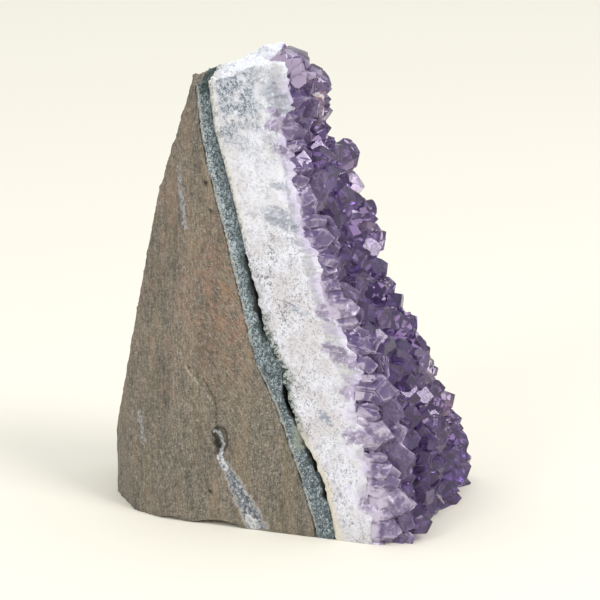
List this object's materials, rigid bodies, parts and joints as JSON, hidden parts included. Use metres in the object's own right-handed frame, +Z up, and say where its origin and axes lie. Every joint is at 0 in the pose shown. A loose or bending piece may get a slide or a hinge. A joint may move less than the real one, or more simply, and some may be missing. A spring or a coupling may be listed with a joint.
{
  "type": "amethyst geode section",
  "caption": "Tall sawn-base section of a geode wall: dark lava rock, green rind and white quartz with a crust of amethyst points on the front.",
  "frame": {"origin": "on the sawn base, under the middle of the piece", "axes": "+Z up along the height; the amethyst points face -Y, the lava rock is at +Y and the sawn side faces -X"},
  "size_m": [0.0475, 0.0715, 0.0964],
  "materials": {
    "basalt": "grey-brown lava rock, sawn matt with fine grooves on two sides, rough where it is broken",
    "rind": "speckled blue-grey and dark green rind between rock and quartz, matt",
    "white_quartz": "sugary white quartz, slightly translucent, with grey specks",
    "amethyst": "clear violet crystal with flat shiny faces, paling to white at its roots"
  },
  "bodies": {
    "root": {"basalt_matrix": "basalt", "chalcedony_rind": "rind", "white_quartz": "white_quartz", "amethyst_points": "amethyst"}
  },
  "joints": []
}
